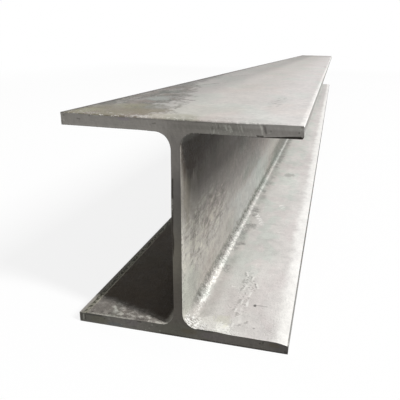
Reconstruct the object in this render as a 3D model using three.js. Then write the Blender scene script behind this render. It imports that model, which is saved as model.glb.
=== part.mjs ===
// Hot-rolled wide-flange beam of the 203 x 203 mm size, cut to a 3 m length.
//
// Millimetres, +Z up. The beam lies along Y with its middle over the origin, and its lower flange
// rests on the plane Z = 0. It is rolled in one piece: two parallel-faced flanges, joined by a web
// with a root fillet in each of the four corners. Both ends are cut square.

import * as THREE from 'three';

// Driving dimensions of the section and of the cut length. The flanges are those of the 46 kg/m
// universal column, and the web is rolled to the thick end of its tolerance: 7.2 mm plus 1 mm.
const beamLength = 3000;
const sectionDepth = 203;
const flangeWidth = 203;
const flangeThickness = 11;
const webThickness = 8.2;

// Radius that the rolls leave where the web runs into a flange.
const rootRadius = 12.7;

// The rolls never quite fill the flange tips: the outer corners stay nearly sharp and the
// inner corners, which face the other flange, come out rounder.
const outerToeRadius = 1.2;
const innerToeRadius = 2.4;

// How finely the round stretches are faceted.
const rootArcSteps = 14;
const toeArcSteps = 5;

// Mill-finish steel.
const millSteelColour = 0x9b9994;
const millSteelRoughness = 0.58;
const millSteelMetalness = 0.75;

// One corner of the section: where the two straight faces would meet, the radius that rounds it,
// and the number of facets in its arc.
function corner(x, z, radius, steps) {
  return { point: new THREE.Vector2(x, z), radius, steps };
}

// Corners of the H-section, anticlockwise as seen from the end at -Y, starting at the lower left.
function sectionCorners() {
  const toeX = flangeWidth / 2;
  const webX = webThickness / 2;
  const lowerFlangeTop = flangeThickness;
  const upperFlangeUnderside = sectionDepth - flangeThickness;
  const outerToe = Math.min(outerToeRadius, flangeThickness / 2);
  const innerToe = Math.min(innerToeRadius, flangeThickness / 2);

  return [
    corner(-toeX, 0, outerToe, toeArcSteps),
    corner(toeX, 0, outerToe, toeArcSteps),
    corner(toeX, lowerFlangeTop, innerToe, toeArcSteps),
    corner(webX, lowerFlangeTop, rootRadius, rootArcSteps),
    corner(webX, upperFlangeUnderside, rootRadius, rootArcSteps),
    corner(toeX, upperFlangeUnderside, innerToe, toeArcSteps),
    corner(toeX, sectionDepth, outerToe, toeArcSteps),
    corner(-toeX, sectionDepth, outerToe, toeArcSteps),
    corner(-toeX, upperFlangeUnderside, innerToe, toeArcSteps),
    corner(-webX, upperFlangeUnderside, rootRadius, rootArcSteps),
    corner(-webX, lowerFlangeTop, rootRadius, rootArcSteps),
    corner(-toeX, lowerFlangeTop, innerToe, toeArcSteps),
  ];
}

// Points of the arc that rounds one square corner, from the face before it to the face after it.
// The same formula serves the convex toes and the concave roots, because the arc's centre always
// lies one radius along both faces.
function roundedCorner(previous, current, next) {
  const towardsPrevious = previous.point.clone().sub(current.point).normalize();
  const towardsNext = next.point.clone().sub(current.point).normalize();
  const centre = current.point
    .clone()
    .addScaledVector(towardsPrevious, current.radius)
    .addScaledVector(towardsNext, current.radius);

  const points = [];
  for (let step = 0; step <= current.steps; step += 1) {
    const angle = (step / current.steps) * (Math.PI / 2);
    points.push(
      centre
        .clone()
        .addScaledVector(towardsNext, -current.radius * Math.cos(angle))
        .addScaledVector(towardsPrevious, -current.radius * Math.sin(angle)),
    );
  }
  return points;
}

// The closed outline of the section, with every corner rounded.
function sectionShape() {
  const corners = sectionCorners();
  const outline = corners.flatMap((current, index) => {
    const previous = corners[(index + corners.length - 1) % corners.length];
    const next = corners[(index + 1) % corners.length];
    return roundedCorner(previous, current, next);
  });
  return new THREE.Shape(outline);
}

// The rolled bar: the section swept along Y and cut square at both ends.
function rolledBeam() {
  const geometry = new THREE.ExtrudeGeometry(sectionShape(), {
    depth: beamLength,
    steps: 1,
    bevelEnabled: false,
  });
  geometry.rotateX(Math.PI / 2);
  geometry.translate(0, beamLength / 2, 0);

  const material = new THREE.MeshStandardMaterial({
    color: millSteelColour,
    roughness: millSteelRoughness,
    metalness: millSteelMetalness,
  });

  const beam = new THREE.Mesh(geometry, material);
  beam.name = 'i_beam';
  return beam;
}

const steelBeam = new THREE.Group();
steelBeam.add(rolledBeam());

export default steelBeam;
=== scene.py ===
"""Looks of the hot-rolled steel beam: surface relief, steel, a pale floor, soft light and the camera.

Everything is in the frame of the CAD model: the beam lies along Y, the end that the camera looks at is
the one at low Y, and the lower flange rests on Z = 0. The shapes, the lights and the camera are in
metres, and the materials measure in millimetres.
"""

import math
import random

import bpy
from mathutils import Matrix, Vector, noise
from mathutils.geometry import delaunay_2d_cdt


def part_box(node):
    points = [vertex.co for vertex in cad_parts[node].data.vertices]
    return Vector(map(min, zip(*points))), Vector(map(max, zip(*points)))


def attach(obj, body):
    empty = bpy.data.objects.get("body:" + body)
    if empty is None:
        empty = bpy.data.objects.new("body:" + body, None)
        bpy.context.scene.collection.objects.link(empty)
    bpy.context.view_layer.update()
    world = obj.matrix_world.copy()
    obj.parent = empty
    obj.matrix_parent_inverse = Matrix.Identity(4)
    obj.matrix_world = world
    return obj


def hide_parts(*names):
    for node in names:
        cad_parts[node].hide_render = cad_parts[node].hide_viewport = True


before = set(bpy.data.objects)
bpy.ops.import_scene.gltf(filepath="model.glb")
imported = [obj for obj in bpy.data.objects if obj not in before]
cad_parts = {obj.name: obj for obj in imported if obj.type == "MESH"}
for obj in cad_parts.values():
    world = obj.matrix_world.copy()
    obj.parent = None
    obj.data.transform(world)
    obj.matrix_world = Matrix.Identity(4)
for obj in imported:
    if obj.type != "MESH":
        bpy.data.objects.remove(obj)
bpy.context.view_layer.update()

MM = 0.001

# ---------------------------------------------------------------- sizes of the section and the beam

beam_low, beam_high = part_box("i_beam")
section_depth = beam_high.z - beam_low.z
flange_width = beam_high.x - beam_low.x
front_y = beam_low.y
beam_length = beam_high.y - beam_low.y

# The rest of the section, as the CAD solid has it.
flange_thickness = 11 * MM
web_thickness = 8.2 * MM
root_radius = 12.7 * MM
outer_toe_radius = 1.2 * MM

# What this one bar adds: a fillet of its own size in each corner, as reaches across and up, and toes of
# unlike sharpness.
upper_left_root = Vector((root_radius + 1.2 * MM, root_radius + 2.4 * MM))
upper_right_root = Vector((root_radius - 1.1 * MM, root_radius - 1.1 * MM))
lower_left_root = Vector((root_radius - 0.7 * MM, root_radius + 2.8 * MM))
lower_right_root = Vector((root_radius + 2.2 * MM, root_radius + 1.4 * MM))
crisp_toe_radius = 0.5 * MM
sharp_toe_radius = 0.9 * MM
round_toe_radius = 2.0 * MM

toe_x = flange_width / 2
web_x = web_thickness / 2
lower_flange_top = flange_thickness
upper_flange_underside = section_depth - flange_thickness


# ---------------------------------------------------------------- the section's outline

FLAT_SPACING = 6.0 * MM      # distance between points along the middle of a flat face
FLAT_FIRST_SPACING = 0.9 * MM
FLAT_SPACING_GROWTH = 0.14   # how fast the points spread out away from a flat's ends
FLAT_END_MARGIN = 0.8 * MM   # a flat's first point after an arc, which keeps the arc's shading off the flat
ROOT_ARC_STEPS = 14
INNER_TOE_STEPS = 5
OUTER_TOE_STEPS = 4


class OutlinePoint:
    """A point of the section's outline, with the outward normal there."""

    def __init__(self, position, normal):
        self.position = position
        self.normal = normal


def section_corners():
    """Where the section's straight faces meet, with the reaches and facet count that round each corner."""
    outer = (Vector((outer_toe_radius, outer_toe_radius)), OUTER_TOE_STEPS)
    crisp = (Vector((crisp_toe_radius, crisp_toe_radius)), OUTER_TOE_STEPS)
    sharp = (Vector((sharp_toe_radius, sharp_toe_radius)), INNER_TOE_STEPS)
    rounded = (Vector((round_toe_radius, round_toe_radius)), INNER_TOE_STEPS)
    return [
        (Vector((-toe_x, 0)), *outer),
        (Vector((toe_x, 0)), *crisp),
        (Vector((toe_x, lower_flange_top)), *sharp),
        (Vector((web_x, lower_flange_top)), lower_right_root, ROOT_ARC_STEPS),
        (Vector((web_x, upper_flange_underside)), upper_right_root, ROOT_ARC_STEPS),
        (Vector((toe_x, upper_flange_underside)), *rounded),
        (Vector((toe_x, section_depth)), *outer),
        (Vector((-toe_x, section_depth)), *crisp),
        (Vector((-toe_x, upper_flange_underside)), *sharp),
        (Vector((-web_x, upper_flange_underside)), upper_left_root, ROOT_ARC_STEPS),
        (Vector((-web_x, lower_flange_top)), lower_left_root, ROOT_ARC_STEPS),
        (Vector((-toe_x, lower_flange_top)), *sharp),
    ]


def corner_arc(previous, corner, following, reaches, steps):
    """Outline points of the arc, round or oval, that rounds a square corner, convex or concave."""
    back = (previous - corner).normalized()
    ahead = (following - corner).normalized()
    reach_back = abs(back.dot(reaches))
    reach_ahead = abs(ahead.dot(reaches))
    centre = corner + back * reach_back + ahead * reach_ahead
    convex = back.cross(ahead) < 0
    points = []
    for step in range(steps + 1):
        angle = step / steps * math.pi / 2
        along, across = math.cos(angle), math.sin(angle)
        place = centre - ahead * (along * reach_ahead) - back * (across * reach_back)
        normal = (-ahead * (along / reach_ahead) - back * (across / reach_back)).normalized()
        points.append(OutlinePoint(place, normal if convex else -normal))
    return points


def flat_points(start, end):
    """Outline points between two arcs, close together at both ends and wider apart between."""
    along = end.position - start.position
    length = along.length
    places = []
    reach = FLAT_END_MARGIN
    while reach < length / 2:
        places.append(reach)
        reach += min(FLAT_SPACING, FLAT_FIRST_SPACING + FLAT_SPACING_GROWTH * reach)
    # Stretched a little, so that the two halves meet at the middle with a gap like the ones beside it.
    fit = length / (places[-1] + reach)
    half = [place * fit for place in places]
    places = half + [length - place for place in reversed(half)]
    return [OutlinePoint(start.position + along * (place / length), start.normal) for place in places]


def section_outline():
    """The whole outline, anticlockwise as seen from the front end."""
    corners = section_corners()
    arcs = []
    for index, (corner, reaches, steps) in enumerate(corners):
        previous = corners[index - 1][0]
        following = corners[(index + 1) % len(corners)][0]
        arcs.append(corner_arc(previous, corner, following, reaches, steps))
    outline = []
    for index, arc in enumerate(arcs):
        following = arcs[(index + 1) % len(arcs)]
        outline += arc
        outline += flat_points(arc[-1], following[0])
    return outline


# ---------------------------------------------------------------- relief of the rolled surface

def smooth_step(value, low, high):
    """0 at low, 1 at high and smooth between, in either order."""
    part = min(1.0, max(0.0, (value - low) / (high - low)))
    return part * part * (3 - 2 * part)


def wave(x, y, z, size):
    """Smooth noise from 0 to 1, with features of about that size in metres."""
    return 0.5 + 0.5 * noise.noise(Vector((x, y, z)) / size)


TOE_DROOP = 2.3 * MM         # how far the right lower toe is worn down at its edge
TOE_DROOP_WIDTH = 14.5 * MM
TOE_TAPER = 0.4 * MM         # how much the same flange thins from halfway to its toe
LEFT_TAPER = 0.6 * MM        # and the left one
RIM_STEP = 0.35 * MM         # the left lower toe lies a little lower than the flange inside it
RIM_WIDTH = 8.2 * MM
BURR = 0.9 * MM              # the lip that the saw raised right of the web
BURR_LENGTH = 2.5 * MM
WEB_SWELL = 0.2 * MM         # how much the web's left face stands out beside the cut
WEB_LIP = 0.5 * MM           # and how much further it does round this height
WEB_LIP_HEIGHT = 118 * MM
ROOT_FLARE = 0.4 * MM        # how much the upper left flange thickens on its way into the fillet
UPPER_LEFT_TAPER = 0.35 * MM # and thins towards its toe
UNDER_WEAR = 0.35 * MM       # wear under the right upper toe beside the cut
TOE_WEAR = 0.2 * MM          # mean wear of the upper right toe's side
TOE_WEAR_PATCH = 14 * MM     # size of the patches in which it is worn
SHARP_TOE_SHARE = 0.2        # share of it on the lower right toe
LEFT_TOE_WEAR = 0.25 * MM    # how much more the left toes are worn
UNEVENNESS = 0.06 * MM       # depth of the long waves all over the skin
UNEVENNESS_SIZE = 70 * MM
RESTING_SHARE = 0.2          # share of the unevenness that is left where the beam rests on the floor


def toe_wear(x):
    """How far the right lower flange is worn down at x, at the front end."""
    worn = max(0.0, (x - toe_x + TOE_DROOP_WIDTH) / TOE_DROOP_WIDTH)
    return TOE_DROOP * worn ** 2 + TOE_TAPER * smooth_step(x, 0.4 * toe_x, toe_x)


def inset(point, distance):
    """How far the real surface lies inside the ideal section, at a distance from the front end."""
    x, z = point.position
    depth = UNEVENNESS * wave(x, distance, z, UNEVENNESS_SIZE)
    on_toe = smooth_step(abs(x), toe_x - 4 * MM, toe_x - 0.5 * MM)
    wear = TOE_WEAR * (0.5 + 1.5 * wave(x, distance, z, TOE_WEAR_PATCH) ** 2)
    if x > 0 and z < section_depth / 2:
        wear *= SHARP_TOE_SHARE
    elif x < 0:
        wear += LEFT_TOE_WEAR
    depth += wear * smooth_step(abs(point.normal.x), 0.3, 0.9) * on_toe
    if point.normal.y < -0.4 and z < 0.5 * flange_thickness:
        depth *= RESTING_SHARE
    if point.normal.x < -0.5 and abs(x) < toe_x / 2:
        lip = WEB_LIP * smooth_step(abs(z - WEB_LIP_HEIGHT), 44 * MM, 6 * MM)
        swell = WEB_SWELL * smooth_step(point.normal.x, -0.5, -1.0)
        depth -= (swell + lip) * smooth_step(distance, 30 * MM, 0)
    return depth


def thinning(x, z, distance):
    """How far the point (x, z) of the ideal section lies nearer to its flange's outer face."""
    if z < section_depth / 2:
        share = min(1.0, z / flange_thickness)
        depth = toe_wear(x) * (0.6 + 0.4 * smooth_step(distance, 260 * MM, 0))
        depth += LEFT_TAPER * smooth_step(x, -30 * MM, -60 * MM)
        depth += RIM_STEP * smooth_step(x, RIM_WIDTH - toe_x, RIM_WIDTH - toe_x - 1.6 * MM)
        on_burr = smooth_step(x, 14 * MM, 20 * MM) * smooth_step(x, 50 * MM, 34 * MM)
        depth -= BURR * on_burr * smooth_step(distance, BURR_LENGTH, 0.6 * MM)
    else:
        share = min(1.0, (section_depth - z) / flange_thickness)
        depth = UPPER_LEFT_TAPER * smooth_step(x, -40 * MM, -95 * MM)
        depth += UNDER_WEAR * smooth_step(x, 76 * MM, 94 * MM) * smooth_step(distance, 40 * MM, 0)
        depth -= ROOT_FLARE * smooth_step(x, -34 * MM, -17 * MM) * smooth_step(x, -8 * MM, -13 * MM)
    return depth * share


def real_place(point, distance, rounded):
    """Where a point of the outline really lies, a distance from the front end and further rounded off."""
    x, z = point.position
    place = point.position - point.normal * (inset(point, distance) + rounded)
    thinner = thinning(x, z, distance)
    place.y += thinner if z > section_depth / 2 else -thinner
    return place


# ---------------------------------------------------------------- the cut ends

EDGE_RADIUS = 0.35 * MM      # the saw leaves each edge a little broken
EDGE_PATCH = 6 * MM          # size of the patches in which it is broken more or less
FRONT_PATTERN = 0.37         # where in the noise each end's patches are taken from
REAR_PATTERN = 0.81
LOWER_EDGE_SHARPNESS = 0.4   # the web's and the lower flange's edges are broken less
TOP_EDGE_WEAR = 1.15 * MM    # extra rounding along the middle of the top edge
TOP_EDGE_WEAR_REACH = 88 * MM
RIGHT_EDGE_WEAR = 2.0 * MM   # extra rounding under the right half of the upper flange
EDGE_RING_STEPS = 4
LONGEST_EDGE = 1.0 * MM      # how far along the beam an edge's rounding may reach
END_RELIEF = 0.25 * MM       # depth of the marks on a cut face
CREASE_TOP = Vector((68.0 * MM, 202.5 * MM))      # a crease across the upper flange's cut face
CREASE_FOOT = Vector((71.0 * MM, 192.0 * MM))
CREASE_DEPTH = 0.25 * MM


def edge_radius(point, at_front):
    """How far the edge of a cut end is rounded at this point of the outline."""
    x, z = point.position
    radius = EDGE_RADIUS * (0.6 + 0.8 * wave(x, FRONT_PATTERN if at_front else REAR_PATTERN, z, EDGE_PATCH))
    if z < upper_flange_underside - 20 * MM:
        radius *= LOWER_EDGE_SHARPNESS
    if z < 0.5 * flange_thickness:
        radius *= RESTING_SHARE
    if at_front and point.normal.y > 0.7 and z > upper_flange_underside:
        across = min(1.0, abs(x) / TOP_EDGE_WEAR_REACH)
        radius += TOP_EDGE_WEAR * (1 - across ** 3) * (0.85 + 0.3 * wave(x, 0.2, z, 9 * MM))
    if at_front and z > section_depth / 2:
        radius += RIGHT_EDGE_WEAR * smooth_step(x, 64 * MM, 104 * MM) * smooth_step(point.normal.y, 0, -0.7)
    return radius


def end_relief(x, z):
    """Depth of the marks that the cut left on an end face."""
    slant = x + 0.42 * z
    depth = END_RELIEF * (0.6 * wave(slant, 0.11, 0.02 * z, 1.5 * MM) + 0.4 * wave(x, 0.5, z, 12 * MM))
    if z > upper_flange_underside:
        down = (CREASE_TOP.y - z) / (CREASE_TOP.y - CREASE_FOOT.y)
        aside = x - CREASE_TOP.x - (CREASE_FOOT.x - CREASE_TOP.x) * down
        depth += CREASE_DEPTH * smooth_step(abs(aside - 1.2 * MM), 1.6 * MM, 0.4 * MM)
    return depth


def inside_section(x, z, margin):
    """True where a point lies in the steel, at least margin from the outline."""
    if z > section_depth / 2:
        root = upper_right_root if x > 0 else upper_left_root
    else:
        root = lower_right_root if x > 0 else lower_left_root
    thickness = flange_thickness
    if z < section_depth / 2:
        thickness -= toe_wear(x)
    x = abs(x)
    z = min(z, section_depth - z)
    if x < toe_x - margin - outer_toe_radius and margin < z < thickness - margin:
        return True
    if x < web_x - margin and z > margin:
        return True
    centre = Vector((web_x, flange_thickness)) + root
    in_corner = web_x - margin <= x <= centre.x and flange_thickness - margin <= z <= centre.y
    share = Vector(((x - centre.x) / root.x, (z - centre.y) / root.y))
    return in_corner and share.length > 1 + margin / min(root)


# ---------------------------------------------------------------- the mesh

FIRST_STATION = 1.1 * MM
STATION_GROWTH = 0.032       # how fast the stations spread out away from the front end
LONGEST_STATION = 40 * MM
REAR_GROWTH = 0.16
FRONT_GRID = 1.0 * MM        # spacing of the points inside each cut face
REAR_GRID = 1.7 * MM
GRID_JITTER = 0.25           # how far each of them may lie off its place, as a share of the spacing
GRID_MARGIN = EDGE_RADIUS * 3 + 0.6 * MM    # they stay this far inside the outline
FRONT_SEED = 11              # seeds of the draws that place them
REAR_SEED = 23
SHARP_ANGLE = 40             # degrees between two faces from which their edge looks sharp


def station_distances():
    """Distances from the front end at which the section is repeated, dense at both ends."""
    distances = []
    reach = FIRST_STATION * 2
    rear_start = beam_length - FIRST_STATION * 2
    while reach < rear_start:
        distances.append(reach)
        step = min(FIRST_STATION + STATION_GROWTH * reach, LONGEST_STATION)
        step = min(step, FIRST_STATION + REAR_GROWTH * (beam_length - reach))
        reach += step
    return distances


TOP, RIGHT, LEFT, SAWN = range(4)    # places of the beam's materials
TOP_BORDER = 2.4 * MM                # the top's own steel reaches this far down the toes


def skin_material(first, second):
    """The material of the skin between two neighbouring points of the outline."""
    middle = (first.position + second.position) / 2
    if middle.y > section_depth - TOP_BORDER:
        return TOP
    return RIGHT if middle.x > 0 else LEFT


class BeamMesh:
    """Collects the vertices, faces and material numbers of the beam."""

    def __init__(self, outline):
        self.outline = outline
        self.vertices = []
        self.faces = []
        self.materials = []

    def ring(self, distances, roundings):
        """Adds a ring round the section, each point with its own distance from the front end and
        rounding, and returns the index of its first vertex."""
        first = len(self.vertices)
        for point, distance, rounded in zip(self.outline, distances, roundings):
            place = real_place(point, distance, rounded)
            self.vertices.append((place.x, front_y + distance, place.y))
        return first

    def station(self, distance):
        """A ring of the full section, square to the beam."""
        count = len(self.outline)
        return self.ring([distance] * count, [0.0] * count)

    def edge_rings(self, at_front):
        """The rings that round the edge of a cut end, from the cut face to the full section."""
        radii = [edge_radius(point, at_front) for point in self.outline]
        rings = []
        for step in range(EDGE_RING_STEPS + 1):
            angle = step / EDGE_RING_STEPS * math.pi / 2
            distances = [min(radius, LONGEST_EDGE) * (1 - math.cos(angle)) for radius in radii]
            if not at_front:
                distances = [beam_length - distance for distance in distances]
            rings.append(self.ring(distances, [radius * (1 - math.sin(angle)) for radius in radii]))
        return rings

    def skin(self, first, second):
        """Joins two rings with faces that point out. The second ring lies behind the first."""
        count = len(self.outline)
        for index in range(count):
            after = (index + 1) % count
            self.faces.append((first + index, first + after, second + after, second + index))
            self.materials.append(skin_material(self.outline[index], self.outline[after]))

    def cap(self, ring, at_front):
        """Closes a cut end with a fine triangle mesh that carries the marks of the cut."""
        count = len(self.outline)
        boundary = [Vector(vertex[::2]) for vertex in self.vertices[ring:ring + count]]
        chance = random.Random(FRONT_SEED if at_front else REAR_SEED)
        inner = []
        grid = FRONT_GRID if at_front else REAR_GRID
        for column in range(int(flange_width / grid)):
            for row in range(int(section_depth / grid)):
                x = -toe_x + (column + 0.5 + chance.uniform(-GRID_JITTER, GRID_JITTER)) * grid
                z = (row + 0.5 + chance.uniform(-GRID_JITTER, GRID_JITTER)) * grid
                if inside_section(x, z, GRID_MARGIN):
                    inner.append(Vector((x, z)))

        # Triangulated in millimetres, inside the outline only.
        per_metre = 1 / MM
        points = [point * per_metre for point in boundary + inner]
        loop = [(index, (index + 1) % count) for index in range(count)]
        inside_only = 1
        tolerance = 1e-5
        flat, _, triangles, sources, _, _ = delaunay_2d_cdt(points, loop, [], inside_only, tolerance)
        numbers = []
        for place, source in zip(flat, sources):
            original = source[0] if source else None
            if original is not None and original < count:
                numbers.append(ring + original)
                continue
            x, z = place.x * MM, place.y * MM
            depth = end_relief(x, z)
            numbers.append(len(self.vertices))
            self.vertices.append((x, front_y + depth if at_front else front_y + beam_length - depth, z))
        for triangle in triangles:
            corners = [numbers[index] for index in triangle]
            first, second, third = (Vector(self.vertices[number][::2]) for number in corners)
            anticlockwise = (second - first).cross(third - first) > 0
            if anticlockwise != at_front:
                corners.reverse()
            self.faces.append(tuple(corners))
            self.materials.append(SAWN)


def build_beam():
    """The beam as one closed mesh: edge rings and caps at both ends, and the rolled skin between."""
    outline = section_outline()
    mesh = BeamMesh(outline)
    front_rings = mesh.edge_rings(at_front=True)
    stations = [mesh.station(distance) for distance in station_distances()]
    rear_rings = mesh.edge_rings(at_front=False)
    order = front_rings + stations + rear_rings[::-1]
    for first, second in zip(order, order[1:]):
        mesh.skin(first, second)
    mesh.cap(front_rings[0], at_front=True)
    mesh.cap(rear_rings[0], at_front=False)

    data = bpy.data.meshes.new("rolled_beam")
    data.from_pydata(mesh.vertices, [], mesh.faces)
    data.polygons.foreach_set("material_index", mesh.materials)
    data.polygons.foreach_set("use_smooth", [True] * len(data.polygons))
    data.update()
    data.set_sharp_from_angle(angle=math.radians(SHARP_ANGLE))
    beam = bpy.data.objects.new("rolled_beam", data)
    bpy.context.scene.collection.objects.link(beam)
    return beam


# ---------------------------------------------------------------- materials

# The same sizes in millimetres, in which the materials measure.
toe_mm = toe_x / MM
depth_mm = section_depth / MM
length_mm = beam_length / MM
front_mm = front_y / MM


def srgb(red, green, blue):
    """A colour given as it looks on screen, from 0 to 255, as the linear colour that Blender takes."""
    def linear(value):
        value /= 255
        return value / 12.92 if value <= 0.04045 else ((value + 0.055) / 1.055) ** 2.4
    return (linear(red), linear(green), linear(blue), 1.0)


class Value:
    """A number that varies over the surface: the output of one of a material's nodes.

    The signs +, - and * add nodes that reckon with it, and a | b is the larger of the two.
    """

    def __init__(self, nodes, socket):
        self.nodes = nodes
        self.socket = socket

    def __add__(self, other):
        return self.nodes.maths("ADD", self, other)

    def __sub__(self, other):
        return self.nodes.maths("SUBTRACT", self, other)

    def __rsub__(self, other):
        return self.nodes.maths("SUBTRACT", other, self)

    def __mul__(self, other):
        return self.nodes.maths("MULTIPLY", self, other)

    def __or__(self, other):
        return self.nodes.maths("MAXIMUM", self, other)

    def __abs__(self):
        return self.nodes.maths("ABSOLUTE", self)

    __radd__ = __add__
    __rmul__ = __mul__
    __ror__ = __or__

    def ramp(self, low, high, bottom=0.0, top=1.0):
        """bottom where the value is at low, top where it is at high, and smooth between."""
        inputs = {"Value": self, "From Min": low, "From Max": high, "To Min": bottom, "To Max": top}
        return self.nodes.made("ShaderNodeMapRange", "Result", inputs, interpolation_type="SMOOTHSTEP")

    def band(self, middle, half_width, softness):
        """1 in a band round the middle, falling to 0 over the softness on either side."""
        return abs(self - middle).ramp(half_width + softness, half_width)

    def sway(self, amount):
        """A noise value turned into a change around 0 that seldom passes plus or minus the amount."""
        # Most of the noise lies within a sixth of 0.5.
        return (self - 0.5) * (6 * amount)


class Nodes:
    """The nodes of a material or of the world."""

    def __init__(self, tree):
        self.tree = tree

    def made(self, kind, output, inputs, **settings):
        """Adds a node with these inputs and settings, and returns one of its outputs."""
        node = self.tree.nodes.new(kind)
        for key, value in settings.items():
            setattr(node, key, value)
        for socket, value in inputs.items():
            if isinstance(value, Value):
                self.tree.links.new(value.socket, node.inputs[socket])
            else:
                node.inputs[socket].default_value = value
        return Value(self, node.outputs[output])

    def maths(self, operation, first, second=0.0):
        return self.made("ShaderNodeMath", 0, {0: first, 1: second}, operation=operation)

    def seen_directly(self):
        """1 for rays from the camera, mirror-like or see-through ones, 0 for rays that light things."""
        camera, glossy, transmission = (self.made("ShaderNodeLightPath", output, {}) for output in (
            "Is Camera Ray", "Is Glossy Ray", "Is Transmission Ray"))
        return camera | glossy | transmission


class Shader(Nodes):
    """A material in the making: short calls that add its nodes, with places measured in millimetres.

    self.colour is the colour so far, which lay, paint, tint and tone then change.
    """

    def __init__(self, name):
        self.material = bpy.data.materials.new(name)
        self.material.use_nodes = True
        super().__init__(self.material.node_tree)
        self.tree.nodes.clear()
        self.place = self.made("ShaderNodeTexCoord", "Object", {})
        in_mm = self.made("ShaderNodeVectorMath", 0, {0: self.place, "Scale": 1 / MM}, operation="SCALE")
        self.x, self.y, self.z = (self.made("ShaderNodeSeparateXYZ", axis, {0: in_mm}) for axis in "XYZ")
        self.from_front = self.y - front_mm
        self.from_end = self.maths("MINIMUM", self.from_front, front_mm + length_mm - self.y)

    def noise(self, scale, shift, size, detail=3.0, roughness=0.55, distortion=0.0):
        """Noise from 0 to 1 with features of that size, scaled along each axis.

        The shift moves it, so that two patterns never coincide.
        """
        inputs = {0: self.place, 1: scale, 2: (shift, shift, shift)}
        place = self.made("ShaderNodeVectorMath", 0, inputs, operation="MULTIPLY_ADD")
        inputs = {"Vector": place, "Scale": 1 / (size * MM), "Detail": detail, "Roughness": roughness,
                  "Distortion": distortion}
        return self.made("ShaderNodeTexNoise", "Fac", inputs)

    def spot(self, across, along, half_across, half_along, first, second):
        """A soft-edged oval mark centred at (across, along), measured in the two given coordinates."""
        across_share = (first - across) * (1 / half_across)
        along_share = (second - along) * (1 / half_along)
        return (across_share * across_share + along_share * along_share).ramp(1.5, 0.5)

    def marks(self, first, second, softness, *marks):
        """Straight marks in two coordinates, each given by its start, its end and its half width."""
        total = 0.0
        for start_first, start_second, end_first, end_second, half_width in marks:
            length = math.dist((start_first, start_second), (end_first, end_second))
            step_first = (end_first - start_first) / length
            step_second = (end_second - start_second) / length
            from_first = first - start_first
            from_second = second - start_second
            along = from_first * step_first + from_second * step_second
            aside = from_second * step_first - from_first * step_second
            mark = aside.band(0, half_width, softness) * along.band(length / 2, length / 2, softness)
            total = mark | total
        return total

    def mix(self, factor, first, second, blend="MIX"):
        inputs = {0: factor, 6: first, 7: second}
        return self.made("ShaderNodeMix", 2, inputs, data_type="RGBA", blend_type=blend)

    def gradient(self, value, *stops):
        """A colour that runs smoothly through the stops, each a place and its colour on screen."""
        (place, *colour), *others = stops
        colour = srgb(*colour)
        for next_place, *next_colour in others:
            colour = self.mix(value.ramp(place, next_place), colour, srgb(*next_colour))
            place = next_place
        return colour

    def lay(self, mask, colour):
        """Covers the colour so far with another, as far as the mask says."""
        self.colour = self.mix(mask, self.colour, colour)

    def paint(self, mask, red, green, blue):
        """The same with a colour given as it looks on screen."""
        self.lay(mask, srgb(red, green, blue))

    def tint(self, mask, red, green, blue):
        """Multiplies the colour so far by three factors, as far as the mask says."""
        self.colour = self.mix(mask, self.colour, (red, green, blue, 1.0), "MULTIPLY")

    def tone(self, factor):
        """Multiplies the colour so far by one varying factor."""
        grey = self.made("ShaderNodeCombineColor", 0, {0: factor, 1: factor, 2: factor})
        self.colour = self.mix(1.0, self.colour, grey, "MULTIPLY")

    def steel(self, roughness, metallic, relief, depth, specular):
        """Ends the material as steel of the colour so far, with a relief of that depth."""
        normal = self.made("ShaderNodeBump", 0, {"Strength": 1.0, "Distance": depth * MM, "Height": relief})
        inputs = {"Base Color": self.colour, "Roughness": roughness, "Metallic": metallic,
                  "Normal": normal, "Specular IOR Level": specular}
        return self.finish(self.made("ShaderNodeBsdfPrincipled", 0, inputs))

    def finish(self, surface):
        output = self.tree.nodes.new("ShaderNodeOutputMaterial")
        self.tree.links.new(surface.socket, output.inputs["Surface"])
        return self.material


# Painted shade: the upper flange's underside is darkened as if it lay in shadow.
SHADED_UNDER_COLOUR = srgb(112, 109, 104)     # the underside of the upper flange
RESTING_COLOUR = srgb(140, 136, 130)   # the underside of the lower one


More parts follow.
